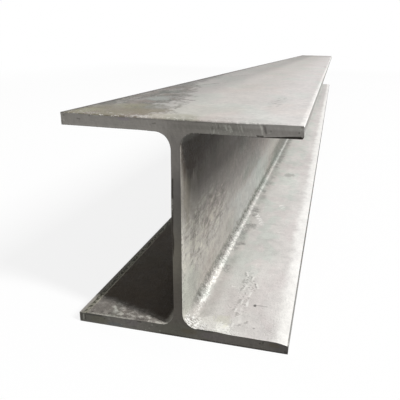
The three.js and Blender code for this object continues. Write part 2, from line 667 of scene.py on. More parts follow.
class RolledSteel(Shader):
    """Hot-rolled skin: its noise fields, and the toes and the weathering that all of its faces share."""

    def __init__(self, name):
        super().__init__(name)
        self.clouds = self.noise((1, 0.45, 1), 0, 60, 3, 0.5)
        self.patches = self.noise((1, 0.6, 1), 3.1, 16, 4, 0.6)
        self.blotches = self.noise((1, 0.8, 0.8), 5.7, 6, 3, 0.6)
        self.runs = self.noise((0.38, 1, 0.38), 1.9, 5.5, 4, 0.6, 0.4)
        self.grit = self.noise((1, 0.6, 1), 6.6, 2.6, 2, 0.7)
        self.grain = self.noise((1, 1, 1), 2.2, 2.2, 2, 0.6)
        self.fine = self.noise((1, 1, 1), 7.3, 1.1, 1)
        self.flecks = self.noise((1, 1, 1), 8.8, 2.6, 2, 0.7).ramp(0.55, 0.64)
        self.pits = self.noise((1, 1, 1), 6.1, 2.2, 2, 0.7).ramp(0.56, 0.65)
        self.scuffed = (self.from_end + self.patches.sway(6) + self.blotches.sway(5)).ramp(22, 3)

    def undersides(self):
        """Covers the undersides of both flanges, of which the photograph shows next to nothing; the upper
        one is darkened with painted shade.
        """
        self.lay(self.z.ramp(178, 188), SHADED_UNDER_COLOUR)
        self.lay(self.z.ramp(1.5, 0.5), RESTING_COLOUR)

    def toes(self):
        """Adds the flanges' toes: grey upper ones and darker lower ones, partly with painted shadow where
        they meet the floor.
        """
        x, z = self.x, self.z
        toe_start = z.ramp(60, 40, toe_mm - 0.7, toe_mm - 1.3)
        on_toe = (abs(x) - toe_start).ramp(0, 0.4) * z.ramp(depth_mm - 0.6, depth_mm - 1.6)
        upper_toe = self.gradient(z, (193, 200, 198, 194), (200, 156, 155, 151))
        # The lower toes darken along the beam: partly dark scale, partly painted shadow of their contact
        # with the floor.
        lower_toe = self.gradient(self.from_front, (30, 118, 117, 114), (250, 58, 56, 53))
        lower_toe = self.mix(x.ramp(-1, 1), srgb(128, 126, 121), lower_toe)
        self.lay(on_toe * 0.9, self.mix(z.ramp(60, 40), upper_toe, lower_toe))

    def weather(self, calm, tinted, bare_share, pit_share, bright):
        """Adds what every face shares: uneven tone, cool and warm tints, scuffs by the cuts, and relief.

        calm is how far the face is free of it, tinted is how far it takes the tints, and the two shares
        set how much bare metal and how many pits its scuffs show. bright is how metallic it is elsewhere.
        """
        uneven = 1 - calm
        unevenness = (self.clouds.sway(0.05) + self.patches.sway(0.10) + self.blotches.sway(0.10)
                      + self.grain.sway(0.06) + self.fine.sway(0.03))
        self.tone(unevenness * uneven + 1)
        cool = self.noise((0.8, 0.35, 0.8), 9.7, 45, 2).ramp(0.50, 0.62)
        self.tint(cool * tinted, 0.955, 1.0, 0.985)
        warm = self.noise((0.7, 0.3, 0.7), 4.4, 38, 2).ramp(0.52, 0.66)
        self.tint(warm * tinted, 1.0, 0.975, 0.965)
        bare = self.flecks * self.scuffed * bare_share
        self.paint(bare * 0.6, 236, 233, 228)
        pitted = self.pits * (self.scuffed * pit_share | uneven * 0.12)
        self.paint(pitted, 108, 106, 101)

        relief = (self.grain * 0.8 + self.patches * 0.5 + self.fine * 0.5
                  + self.flecks * 0.3 - self.pits * 0.4)
        roughness = self.patches.sway(0.06) + self.grain.sway(0.05) + 0.52
        return self.steel(roughness, bare * 0.3 | bright, relief * (1 - calm * 0.7), 0.45, specular=0.05)


class TopSteel(RolledSteel):
    """The upper flange's top, with its smudged scale."""

    def scale_on_top(self):
        """Pale steel, and on the left dark, smudged scale that thins out along the beam."""
        x, ahead = self.x, self.from_front
        self.colour = self.gradient(x, (-48, 174, 171, 167), (-4, 198, 194, 189), (10, 199, 195, 190),
                                    (92, 217, 213, 210))
        thinning = ahead * 0.14 + (ahead - 220 | 0) * 0.18
        tongue = self.spot(-44, 142, 20, 36, x, ahead)
        bay = self.spot(-40, 68, 16, 20, x, ahead)
        thinning = thinning - tongue * 12 + bay * 12 + ahead.ramp(14, 2, 0, 12)
        edge = x + thinning + self.patches.sway(12) + self.clouds.sway(9) + self.blotches.sway(9)
        self.scale = edge.ramp(-14, -32)
        smudging = self.blotches + self.patches.sway(0.1) + self.clouds.sway(0.05) + self.runs.sway(0.05)
        darker_edge = edge.band(-38, 8, 14)
        smudges = self.scale * (smudging + darker_edge * 0.05).ramp(0.52, 0.62)
        paler = self.scale * (self.patches + self.grit.sway(0.06)).ramp(0.49, 0.42)
        self.paint(self.scale, 132, 129, 123)
        self.paint(paler * 0.7, 160, 158, 153)
        self.paint(smudges * 0.8, 99, 99, 96)
        near = (ahead + self.clouds.sway(15)).ramp(90, 25)
        self.paint(self.scale * near * 0.7, 140, 133, 114)

    def stains_on_top(self):
        """Tinted patches of the scale, its dark lines, and two marks on the pale part."""
        x, ahead = self.x, self.from_front
        mossy = (self.spot(-84, 20, 11, 14, x + self.blotches.sway(6), ahead)
                 | self.spot(-64, 62, 14, 16, x + self.blotches.sway(6), ahead))
        self.paint(mossy * 0.5, 150, 148, 124)
        teal = self.spot(-61, 126, 12, 22, x + self.blotches.sway(8), ahead)
        self.paint(teal * self.scale * 0.8, 152, 155, 150)
        grey = self.spot(-36, 58, 16, 14, x + self.blotches.sway(8), ahead)
        self.paint(grey * 0.6, 134, 132, 126)
        dark_lines = self.marks(x + self.grain.sway(1.5), ahead + self.blotches.sway(5), 1.5,
            (-86, 33, -76, 33, 0.8), (-62, 56, -42, 55, 1.2), (-84, 90, -64, 84, 1.2),
            (-40, 131, -20, 119, 1.6), (-70, 300, -52, 352, 1.6), (-72, 520, -46, 556, 1.6))
        self.paint(dark_lines * 0.45, 98, 95, 90)
        pinkish = self.noise((1, 0.8, 1), 2.7, 22, 2).ramp(0.54, 0.62)
        self.paint(self.scale * pinkish * 0.5, 140, 128, 122)
        sallow = self.spot(-2, 4, 24, 22, x + self.patches.sway(8), ahead)
        self.paint(sallow * 0.7, 178, 174, 160)
        faint = self.spot(64, 145, 8, 50, x, ahead)
        self.paint(faint * self.blotches.ramp(0.52, 0.58) * 0.7, 166, 164, 160)

    def edges_on_top(self):
        """The darker left side, the bright worn right toe, the dull front and the dim far end."""
        x, ahead = self.x, self.from_front
        self.tint(x.ramp(10 - toe_mm, 4 - toe_mm), 0.8, 0.8, 0.8)
        grey_strip = ((x + self.patches.sway(8)).ramp(34 - toe_mm, 8 - toe_mm) * ahead.ramp(180, 320)
                      * ahead.ramp(1000, 500))
        self.tint(grey_strip, 0.86, 0.86, 0.86)
        tail = self.spot(-96, 400, 12, 150, x + self.patches.sway(6), ahead)
        self.paint(tail * 0.75, 130, 128, 125)
        # Partly painted shade: a dark line along the left toe's rounded edge, stronger in patches.
        rim_width = ahead.ramp(150, 500, 3.2, 6)
        left_rim = (x + toe_mm + self.grit.sway(0.8) - rim_width).ramp(0.5, -0.5)
        self.paint(left_rim * self.blotches.ramp(0.42, 0.56, 0.6, 1), 84, 80, 77)
        dull = self.spot(34, 2, 50, 18, x + self.patches.sway(8), ahead)
        self.tint(dull, 0.89, 0.88, 0.875)
        self.tint(ahead.ramp(60, 260), 0.972, 0.96, 0.966)
        far_dim = ahead.ramp(1200, 2300) * x.ramp(96, 80)
        self.tint(far_dim, 0.955, 0.948, 0.952)
        self.tint(ahead.ramp(2300, 2800), 0.86, 0.86, 0.86)
        stain = self.spot(94, 1080, 5, 24, x, ahead)
        self.paint(stain * 0.45, 150, 128, 128)
        self.worn_toe = (x + self.blotches.sway(0.8)).ramp(toe_mm - 5, toe_mm - 2)
        self.paint(self.worn_toe, 232, 229, 226)

    def build(self):
        self.scale_on_top()
        self.stains_on_top()
        self.edges_on_top()
        on_top = self.z.ramp(depth_mm - 2.2, depth_mm - 0.7)
        self.colour = self.mix(on_top, SHADED_UNDER_COLOUR, self.colour)
        self.toes()
        calm = on_top * (1 - self.scale * 1.4) * 0.4
        return self.weather(calm, 1, 1, 0.6 - on_top * 0.35, self.worn_toe * 0.6)


class RightSteel(RolledSteel):
    """The right-hand channel: web and lower flange, lit and rubbed."""

    def floor_skin(self):
        """The lower flange: pale and cross-streaked, with dark smears that hang from the fillet."""
        x, ahead = self.x, self.from_front
        self.colour = self.gradient(x, (16, 188, 185, 180), (34, 209, 206, 202), (50, 215, 212, 208),
                                    (82, 223, 219, 216))
        self.tone(1 + self.runs.sway(0.035) + self.clouds.sway(0.03))
        cool = self.noise((0.9, 0.5, 1), 9.7, 30, 2).ramp(0.46, 0.56)
        cool = cool * (x + self.patches.sway(8)).ramp(82, 60) * ahead.ramp(60, 150)
        self.tint(cool, 0.93, 0.985, 0.965)
        lilac = self.noise((0.9, 0.5, 1), 4.4, 26, 2).ramp(0.5, 0.6)
        self.tint(lilac, 0.975, 0.955, 0.96)

        smears = (self.noise((0.35, 1, 1), 5.2, 16, 4, 0.6) + self.grit.sway(0.04)).ramp(0.51, 0.6)
        beside_fillet = (x + self.blotches.sway(5) + self.patches.sway(5)).ramp(25, 14)
        self.paint(beside_fillet * ahead.ramp(30, 260) * 0.45, 148, 147, 143)
        self.paint(smears * beside_fillet * ahead.ramp(60, 200) * 0.7, 138, 137, 133)
        hanging = self.marks(x + self.grain.sway(2), ahead + self.blotches.sway(12), 4,
            (13, 222, 17, 244, 4), (16, 255, 27, 262, 4), (9, 172, 15, 178, 4), (12, 128, 19, 124, 2))
        self.paint(hanging * 0.6, 130, 130, 126)

    def floor_marks(self):
        """The lower flange's speckled patch, streaks, dents and scuffs, and a cream scrape by the cut."""
        x, ahead = self.x, self.from_front
        wavering = x + self.patches.sway(5)
        cluster = self.spot(47, 80, 9, 50, wavering, ahead)
        self.paint(cluster * self.flecks * 0.55, 238, 235, 232)
        self.paint(cluster * self.pits * 0.75, 150, 146, 143)
        rough_x = x + self.grain.sway(0.8)
        rough_ahead = ahead + self.blotches.sway(2)
        # Painted shadow: these dark marks lie beside the pale ones below, on their shaded side.
        dark_marks = self.marks(rough_x, rough_ahead, 0.9,
            (44, 78, 45.6, 89, 1), (49.6, 101, 50.2, 111, 0.7), (46, 53, 47.6, 60, 1.6),
            (43.4, 38, 44.2, 44, 1), (40.8, 118, 43, 110, 0.6), (42, 94, 43, 103, 0.6),
            (59, 88, 55, 95, 0.5), (47.4, 30, 47.8, 37, 0.6), (58.4, 19, 60.6, 25, 0.7),
            (89, 53, 92.6, 51, 0.5), (53, 14, 55, 20, 0.6))
        self.paint(dark_marks * 0.45, 142, 139, 135)
        pale_marks = self.marks(rough_x, rough_ahead, 0.9,
            (45.4, 78, 47.4, 90, 0.7), (51, 102, 51.8, 112, 0.6), (54, 70, 54.8, 76, 0.7),
            (48, 53, 49.4, 60, 0.7), (45, 38, 45.8, 44, 0.6), (55, 49, 54.6, 60, 0.6),
            (42, 119, 45.6, 111, 0.6), (61, 88, 57, 96, 0.5), (33, 84, 36, 86, 0.5),
            (47.6, 12, 48.4, 18, 0.5))
        self.paint(pale_marks * 0.65, 246, 244, 240)
        rubbed = self.marks(rough_x, rough_ahead, 1.4, (53, 20, 51, 44, 0.8))
        self.paint(rubbed * 0.4, 240, 237, 233)
        streaks = self.marks(x + self.patches.sway(3), rough_ahead, 2.2,
            (50, 243, 75, 239, 1.2), (40, 216, 64, 215, 1.2), (41, 271, 70, 272, 1), (57, 222, 62, 212, 1))
        self.paint(streaks * 0.22, 176, 176, 172)
        patch_x = x + ahead * 0.3 + self.grit.sway(3)
        patch = self.spot(42.5, 9, 7.5, 8.5, patch_x, ahead + self.grit.sway(3))
        self.paint(patch * 0.9, 250, 249, 242)
        sallow = self.spot(43, 21, 8, 7, patch_x, ahead + self.blotches.sway(5))
        self.paint(sallow * 0.4, 214, 212, 192)
        wiped = self.spot(31, 13, 11, 9, patch_x, ahead + self.blotches.sway(5))
        self.paint(wiped * 0.45, 230, 228, 221)
        dent = self.spot(62.7, 53, 1.6, 2.2, x, ahead)
        scrape = self.spot(69.5, 54, 6.5, 1.1, x, ahead)
        self.paint((dent | scrape * 0.4) * 0.85, 96, 95, 92)
        nick = self.spot(68, 15, 1.1, 1.2, x, ahead)
        smudge = self.spot(50, 545, 9, 14, x + self.blotches.sway(6), ahead)
        self.paint((nick | smudge * 0.7) * 0.6, 140, 138, 134)
        slanted = x + ahead * 0.35 + self.blotches.sway(3)
        scuff = self.spot(131, 290, 3, 26, slanted, ahead)
        bright_spot = self.spot(58, 352, 4, 9, x + self.blotches.sway(3), ahead)
        scuffs = (scuff | bright_spot) * self.grit.ramp(0.4, 0.55) * 0.8
        self.paint(scuffs, 244, 242, 239)

    def floor_edges(self):
        """The lower flange's bright toe, its root fillet, and the crushed and flaked steel by the cut."""
        x, ahead = self.x, self.from_front
        far = ahead.ramp(90, 420)
        self.bright_toe = (x + self.patches.sway(2.5)).ramp(toe_mm - 20, toe_mm - 8)
        toe_colour = self.gradient(ahead, (50, 240, 238, 234), (130, 247, 245, 242))
        self.lay(self.bright_toe, toe_colour)

        # The root fillet: dark speckled scale with painted shade beside the web, and a painted highlight, a
        # bright line, along its middle.
        broken = x + self.grain.sway(0.7) + self.fine.sway(0.7) + self.blotches.sway(0.5)
        beyond_cut = ahead.ramp(15, 45)
        shade = (broken - far * 0.9).ramp(9.2, 6) * (0.75 + far * 0.25) * beyond_cut
        shade = shade * (self.grit + self.fine.sway(0.05)).ramp(0.42, 0.56, 0.45, 1.15)
        self.lay(shade, self.mix(far, srgb(96, 92, 87), srgb(92, 95, 87)))
        at_cut = (ahead + self.blotches.sway(8)).ramp(26, 6)
        half_width = 1.25 - far * 0.55 + at_cut * 0.8
        distance = abs(broken - 11.3 - at_cut * 1.1 - far * 0.5)
        sheen = (distance - half_width).ramp(1.3, 0)
        sparkle = (self.grit + self.fine.sway(0.06)).ramp(0.4, 0.54)
        sheen = sheen * (1 - far * 0.45) * ahead.ramp(2, 50, 0.35, 1)
        self.sheen = sheen * sparkle.ramp(0, 1, 0.2, 1)
        distant = ahead.ramp(450, 800) * x.ramp(26, 14)
        self.paint(distant * 0.45, 118, 117, 112)
        far_dim = ahead.ramp(1500, 2100) * x.ramp(92, 80)
        self.tint(far_dim, 0.92, 0.92, 0.925)
        near_dim = ahead.ramp(60, 20) * x.ramp(48, 60) * x.ramp(92, 84)
        self.tint(near_dim, 0.95, 0.945, 0.945)
        self.paint(self.sheen, 240, 238, 233)
        crushed = (ahead + self.grit.sway(4)).ramp(20, 3) * x.ramp(17, 12)
        crushed = crushed * self.grit.ramp(0.54, 0.44, 0.25, 1)
        self.paint(crushed * 0.65, 134, 130, 123)
        foot = (ahead + self.blotches.sway(6)).ramp(50, 25) * broken.ramp(20, 14)
        self.tint(foot, 0.88, 0.875, 0.865)
        crumbs = (ahead + self.blotches.sway(4) + self.grain.sway(2)).ramp(12, 4)
        crumbs = crumbs * x.ramp(15, 20) * x.ramp(62, 50)
        self.paint(crumbs * self.grain.ramp(0.5, 0.45) * 0.5, 176, 172, 166)
        crumbs = crumbs * self.fine.ramp(0.47, 0.55)
        flakes = (ahead + self.blotches.sway(5)).ramp(20, 9) * x.ramp(26, 19)
        flakes = flakes * self.grain.ramp(0.5, 0.56)
        self.paint((crumbs | flakes) * 0.7, 247, 246, 243)

    def web_skin(self):
        """The web: darker above with painted shade under the upper flange and a painted shadow in its upper
        front corner, greyer below, pale and sallow beside the cut edge.
        """
        z, ahead = self.z, self.from_front
        rise = ahead.ramp(60, 300, 0, 20)
        height = z + rise + self.runs.sway(4) + self.blotches.sway(5) + self.clouds.sway(10)
        # Painted shade: the upper web near the front, in the upper flange's shadow, where the light mottles
        # are held back.
        self.shaded_top = height.ramp(112, 136) * ahead.ramp(240, 160)
        # Painted shade: the web's colour darkens upwards, under the upper flange.
        self.colour = self.gradient(height, (70, 164, 160, 154), (132, 135, 130, 125))
        # Painted shadow in the web's upper front corner, darkest in its core.
        corner_shadow = height.ramp(125, 156) * ahead.ramp(230, 110)
        self.paint(corner_shadow * ahead.ramp(8, 30, 0.7, 0.95), 98, 92, 85)
        corner_shadow_core = height.ramp(146, 168) * ahead.ramp(170, 80)
        self.paint(corner_shadow_core, 65, 57, 50)
        cut_reach = (ahead + self.blotches.sway(6) + self.patches.sway(6)).ramp(36, 4)
        self.paint(cut_reach * height.ramp(122, 76) * 0.85, 192, 189, 180)
        olive = self.spot(128, 18, 26, 10, z, ahead + self.blotches.sway(4))
        self.paint(olive * 0.6, 112, 108, 96)
        cut_strip = (ahead + self.grain.sway(1.5)).ramp(8, 5)
        strip_colour = self.gradient(z, (124, 144, 140, 132), (104, 194, 190, 182))
        self.lay(cut_strip * z.ramp(172, 150) * 0.65, strip_colour)
        arris = ahead.ramp(2.6, 1.4) * z.ramp(184, 178) * z.ramp(140, 156)
        self.paint(arris * 0.8, 158, 153, 146)
        worn_spot = self.spot(114, 37, 40, 14, height, ahead)
        self.paint(worn_spot * 0.6, 158, 154, 146)
        foot = (z + self.grain.sway(2)).ramp(25, 20)
        foot = foot * self.grit.ramp(0.42, 0.56, 0.45, 0.9) * ahead.ramp(15, 45)
        self.paint(foot * ahead.ramp(200, 420, 1, 0.6), 106, 105, 100)
        below = z.ramp(46, 28) * ahead.ramp(28, 12)
        self.tint(below, 0.88, 0.875, 0.87)
        muted = z.band(84, 20, 16) * ahead.ramp(70, 120) * ahead.ramp(640, 480)
        self.tint(muted, 0.91, 0.915, 0.93)
        drab = self.spot(90, 360, 16, 90, height, ahead)
        self.paint(drab * 0.75, 132, 131, 127)
        warmer = self.spot(146, 180, 18, 60, height, ahead)
        self.paint(warmer * 0.6, 138, 132, 126)
        distant = ahead.ramp(440, 760) * z.ramp(50, 32)
        self.paint(distant * 0.72, 104, 103, 98)

    def web_marks(self):
        """The web's sallow flecks and dark smudges near the cut, and fainter runs further on."""
        z, ahead = self.z, self.from_front
        mottled = self.spot(82, 80, 34, 96, z, ahead + self.patches.sway(16))
        mottles = self.noise((1, 0.34, 1), 3.7, 5.5, 4, 0.62)
        light = (mottles + self.grit.sway(0.04)).ramp(0.51, 0.6)
        dark = (mottles + self.grain.sway(0.04)).ramp(0.46, 0.37)
        lit_part = 1 - self.shaded_top * 0.8
        self.paint(light * (0.1 + mottled * 0.4) * lit_part, 194, 192, 178)
        self.paint(dark * (0.12 + mottled * 0.42), 100, 98, 91)
        light_runs = (self.runs + self.grit.sway(0.05)).ramp(0.53, 0.63)
        self.paint(light_runs * lit_part * 0.1, 204, 201, 190)
        flecks = self.marks(ahead + self.grain.sway(1.5), z + self.blotches.sway(3), 0.9,
            (44, 114, 40, 107, 0.7), (57, 101, 54, 94, 0.8), (71, 88, 67, 81, 0.8), (33, 102, 31, 96, 0.7),
            (46, 87, 43, 80, 0.8), (64, 71, 60, 65, 0.8), (24, 92, 22, 86, 0.7), (86, 98, 82, 92, 0.8),
            (103, 82, 98, 76, 0.8))
        self.paint(flecks * 0.5, 206, 204, 190)
        ticks = self.marks(ahead + self.grain.sway(1.5), z + self.blotches.sway(3), 0.9,
            (46, 110, 43, 104, 0.6), (52, 100, 50, 92, 0.6), (66, 92, 63, 85, 0.7), (36, 77, 34, 70, 0.6),
            (50, 61, 48, 56, 0.6), (27, 78, 26, 66, 0.5), (77, 84, 73, 78, 0.7), (60, 108, 57, 102, 0.6),
            (38, 92, 36, 86, 0.6))
        self.paint(ticks * 0.45, 92, 90, 80)
        washed = (ahead + self.clouds.sway(50)).ramp(165, 250)
        washed = washed * (z + self.patches.sway(8)).band(40, 15, 14)
        self.paint(washed * ahead.ramp(620, 420) * 0.6, 168, 171, 168)

    def build(self):
        x, z = self.x, self.z
        self.floor_skin()
        self.floor_marks()
        self.floor_edges()
        floor_colour = self.colour
        self.web_skin()
        self.web_marks()
        self.colour = self.mix(z.ramp(17, 21.5), floor_colour, self.colour)
        self.undersides()
        # Painted shade on the rounded edge under the right half of the upper flange's cut, which faces
        # down.
        shaded_under_edge = self.from_end.ramp(2.2, 1.4) * x.ramp(55, 66) * z.band(192, 3, 3)
        self.toes()
        self.paint(shaded_under_edge, 62, 59, 55)
        on_floor = z.ramp(17, 13) * x.ramp(13, 18)
        on_web = z.ramp(20, 24) * z.ramp(190, 186)
        clean_floor = on_floor * x.ramp(20, 50, 0.4, 1)
        bright = (self.bright_toe * 0.1 | self.sheen * 0.4) * z.ramp(26, 20)
        bare_share = (1 - on_web * 0.9) * (1 - shaded_under_edge)
        return self.weather(on_floor * 0.55, 1 - on_floor, bare_share, 0.6 - clean_floor * 0.55, bright)


class LeftSteel(RolledSteel):
    """The left-hand channel, in shadow, and the undersides."""

    def floor_colour(self):
        """The lower flange and the web's foot: dark with painted shade behind the lamp's shadow edge,
        scuffed grey in front of it, with a worn rim.
        """
        x, ahead = self.x, self.from_front
        # The scuffed front ends along the edge of the lamp's shadow.
        scuff_and_shadow_edge = ahead + x * 0.34 + self.patches.sway(2) + self.grain.sway(0.6)
        near = scuff_and_shadow_edge.ramp(8, 0)
        # Painted shade: darker towards the web, and paler again far back.
        self.colour = self.gradient(x + ahead * 0.12, (-58, 84, 76, 66), (0, 69, 62, 54))
        self.paint(ahead.ramp(450, 1000), 130, 125, 117)
        self.paint(near, 122, 117, 111)
        streaks = (self.noise((1, 1, 1), 1.7, 4.5, 3, 0.6, 0.8) + self.grain.sway(0.03)).ramp(0.51, 0.58)
        fewer = x.ramp(-86, -62, 0.3, 1) * x.ramp(-50, -34, 1, 0.4)
        self.paint(streaks * near * fewer * 0.5, 182, 178, 171)

        # Scratches and dents beside the cut, a painted highlight along its edge, and the fillet, which is
        # greyer.
        rough_x = x + self.grain.sway(0.8)
        rough_ahead = ahead + self.fine.sway(1)
        pale_marks = self.marks(rough_x, rough_ahead, 0.9,
            (-72, 17, -66.5, 9.5, 0.8), (-63, 7, -58.5, 6.6, 1.8), (-61.8, 16.4, -61, 15.6, 0.9),
            (-55.4, 7.3, -53, 8.6, 0.7), (-49.4, 6.5, -45.3, 4.8, 0.7), (-41.5, 5.8, -38, 7.4, 0.7),
            (-34.4, 7.6, -33.2, 9.6, 0.8), (-33, 9.6, -30, 5.6, 0.8), (-29.8, 1.6, -27.6, 1.8, 0.6))
        self.paint(pale_marks * 0.7, 192, 189, 181)
        arc = self.marks(rough_x, rough_ahead, 2.5, (-92, 17.7, -75, 28, 1))
        self.paint(arc * 0.25, 160, 156, 150)
        dark_marks = self.marks(rough_x, rough_ahead, 0.8,
            (-42, 2.3, -33.4, 3.2, 0.4), (-56, 3.2, -52.6, 1.8, 0.4), (-90, 2.8, -88, 2.8, 0.8),
            (-80.6, 5.2, -79.4, 5.2, 0.6), (-72, 4, -70, 5, 0.7))
        self.paint(dark_marks * 0.75, 72, 67, 62)
        on_fillet = rough_x.ramp(-15, -12) * ahead.ramp(45, 20)
        self.paint(on_fillet * 0.9, 129, 126, 117)
        # Painted highlight: a bright line along the cut edge and a crescent of it on the fillet.
        edge_line = rough_ahead.ramp(1.9, 1) * x.band(-68, 18, 7) * 0.6
        crescent = rough_ahead.ramp(3.8, 1.8) * x.band(-17, 4.5, 3) * 0.8
        self.paint(edge_line | crescent, 190, 187, 178)
        rim_edge = x + self.grain.sway(0.5) + self.fine.sway(0.3)
        speckled = self.gradient(self.grit, (0.46, 74, 73, 63), (0.56, 146, 144, 130))
        self.lay(rim_edge.ramp(8.4 - toe_mm, 7.4 - toe_mm), speckled)
        self.paint(x.ramp(5 - toe_mm, 3.4 - toe_mm), 146, 142, 135)
        arris = self.mix(near, srgb(158, 155, 148), srgb(168, 164, 158))
        self.lay(x.ramp(2.2 - toe_mm, 1.2 - toe_mm), arris)
        # Painted highlight: a pale line on the step inside the worn rim, fading out along the beam.
        line = rim_edge.band(8.9 - toe_mm, 0.35, 0.7)
        self.paint(line * ahead.ramp(260, 30, 0, 1) * ahead.ramp(4, 30, 0.4, 1), 172, 168, 154)
        return self.colour

    def web_colour(self):
        """The web's left face, which the photograph never shows: the same grey scale as on top."""
        height = self.z + self.clouds.sway(16) + self.patches.sway(8)
        self.colour = self.gradient(height, (60, 168, 164, 157), (140, 150, 146, 140))
        smudges = (self.runs + self.clouds.sway(0.04)).ramp(0.54, 0.64)
        self.paint(smudges * 0.4, 112, 110, 105)
        paler = (self.patches + self.grit.sway(0.05)).ramp(0.50, 0.42)
        self.paint(paler * 0.35, 190, 187, 181)
        return self.colour

    def build(self):
        x, z = self.x, self.z
        self.colour = self.mix(z.ramp(24, 46), self.floor_colour(), self.web_colour())
        self.undersides()
        self.toes()
        on_web = z.ramp(20, 24) * z.ramp(190, 186)
        on_left = x.ramp(-4, -9) * z.ramp(100, 60)
        return self.weather(0, 1, 1 - (on_web | on_left) * 0.9, 0.6, 0)


CUT_SHADE = 0.92             # scales every colour of the cut ends


class CutSteel(Shader):
    """The cut ends: bare steel, darker towards the floor. Single marks show at the front end only."""

    def __init__(self, name):
        super().__init__(name)
        self.clouds = self.noise((1, 1, 0.7), 0, 20, 3)
        self.uprights = self.noise((1, 1, 0.22), 4.2, 5, 3)
        self.grain = self.noise((1, 1, 1), 1.3, 1.5, 2)
        self.smears = self.noise((0.45, 1, 1), 6.9, 4, 3)
        self.at_front = self.from_front.ramp(0.5 * length_mm, 0.4 * length_mm)
        self.rough_x = self.x + self.grain.sway(0.4)
        self.rough_z = self.z + self.smears.sway(0.4)

    def strokes(self, *strokes):
        """Straight marks on the front cut face, each given by its start, its end and its half width."""
        return self.marks(self.rough_x, self.rough_z, 0.45, *strokes) * self.at_front

    def upper_flange(self):
        """The upper flange's cut face: paler, with short scratches, a chip and a bright crease."""
        x, z = self.x, self.z
        self.colour = self.gradient(x, (-16, 163, 159, 153), (4, 143, 139, 133), (40, 147, 145, 138),
                                    (80, 156, 152, 147))
        paler = z.ramp(197.5, 200) * x.ramp(48, 66) * x.ramp(80, 96, 0.6, 1)
        self.paint(paler, 178, 175, 170)
        darker = z.band(197, 0.8, 1.4) * x.band(30, 24, 14)
        self.paint(darker * 0.35, 124, 121, 115)
        dark = self.strokes(
            (-101, 193, -100.2, 196, 0.5), (-98.4, 200, -98.2, 201.4, 0.4),
            (-86.4, 198.6, -83.2, 198.3, 0.5), (-19.4, 197.8, -16.4, 198.2, 0.3),
            (-19, 202.3, -14, 202.2, 0.4), (35.4, 197, 35.6, 200, 0.4), (30.4, 196.5, 30.6, 199, 0.3),
            (28, 192.4, 33, 192.5, 0.5), (40.5, 201.6, 42, 201.5, 0.4), (49, 201.7, 50, 201.6, 0.4),
            (-75.4, 201.5, -74.6, 201.3, 0.4), (70.4, 201.2, 72.6, 195.8, 0.4),
            (71.4, 200.6, 73.2, 195.4, 0.3), (76.2, 197.8, 76.8, 197.2, 0.5),
            (97.4, 197.2, 97.7, 198, 0.4), (99, 201.4, 101, 201.6, 0.4), (99, 198.4, 99.2, 198.8, 0.3))
        self.paint(dark * 0.42, 82, 79, 74)
        chip = self.strokes((65.8, 192.8, 71, 193.1, 0.35))
        self.paint(chip * 0.85, 64, 61, 56)
        pale = self.strokes(
            (67, 202.2, 69, 199.8, 0.35), (69, 199.8, 69.8, 194.6, 0.35), (40.6, 199.8, 42, 195.6, 0.35),
            (43.6, 199.8, 45, 194.4, 0.35), (44.8, 198.8, 46.2, 195.2, 0.3),
            (53, 199.8, 54.4, 195.2, 0.35), (-76.6, 202.1, -75, 202, 0.3), (-70.6, 202, -66.4, 201.9, 0.3),
            (-62.4, 202, -61.6, 202, 0.3), (-98.5, 195.8, -98.3, 196.4, 0.5),
            (31.6, 192.6, 31.8, 196.4, 0.3), (75, 196.2, 75.3, 195.8, 0.4), (98.6, 196, 98.8, 200.6, 0.2))
        self.paint(pale * 0.5, 196, 196, 186)
        purple = self.spot(-44, 200.4, 5, 1.6, self.rough_x, self.rough_z)
        self.paint(purple * self.at_front * 0.7, 157, 150, 154)
        return self.colour

    def lower_flange(self):
        """The lower flange's cut face: darker, with faint stains of olive, blue, brown and purple."""
        x, z = self.rough_x, self.rough_z
        self.colour = self.gradient(x, (-94, 107, 105, 98), (-48, 124, 121, 115), (-6, 103, 101, 92),
                                    (50, 113, 109, 104), (76, 109, 105, 99), (96, 95, 92, 89))
        stains = (
            (-81, 5, 9, 4, 0.4, 108, 106, 88), (-64, 2.4, 8, 1.8, 0.6, 104, 109, 111),
            (10, 7.5, 8, 3, 0.5, 96, 88, 72), (89, 7, 5, 2.4, 0.5, 96, 88, 72),
            (-46, 7, 6, 3.4, 0.35, 118, 110, 114), (33, 6, 12, 3.6, 0.35, 118, 110, 114))
        for across, up, half_across, half_up, strength, red, green, blue in stains:
            stain = self.spot(across, up, half_across, half_up, x, z)
            self.paint(stain * self.at_front * strength, red, green, blue)
        # The stroke under the burr, from x 18 to 33, is its painted shadow, and the strokes along the
        # bottom edge are a painted contact shadow.
        dark = self.strokes(
            (-99.2, 1, -99, 9.5, 0.8), (-95.3, 2, -95.2, 8, 0.35), (-94.5, 8.8, -78, 8.8, 0.6),
            (-75.4, 6.6, -74.4, 6.4, 0.6), (-41, 9.6, -37, 9.3, 0.6), (-18, 1.1, 0, 0.9, 0.7),
            (1, 0.8, 14, 0.8, 0.4), (22, 0.8, 30, 0.8, 0.5), (18, 10.7, 33, 10.9, 0.5),
            (78.4, 8, 79.6, 8, 0.7), (75.6, 7, 76.4, 6.8, 0.5), (98.6, 1.4, 101, 1.6, 0.9),
            (32, 0.7, 96, 0.7, 0.45))
        self.paint(dark * 0.6, 58, 56, 51)
        pale = self.strokes(
            (-97.6, 2, -96.6, 8, 0.5), (-70.6, 7, -69.4, 7.1, 0.4), (-58, 3, -57, 3.1, 0.4),
            (-33.4, 1.8, -32.6, 1.9, 0.4), (-29.4, 3.8, -28.6, 3.8, 0.4), (-26.4, 8, -25.6, 8.1, 0.4),
            (-18.8, 2.6, -18.4, 3.6, 0.6), (-71.6, 9.7, -69.4, 9.8, 0.4))
        self.paint(pale * 0.55, 158, 158, 150)
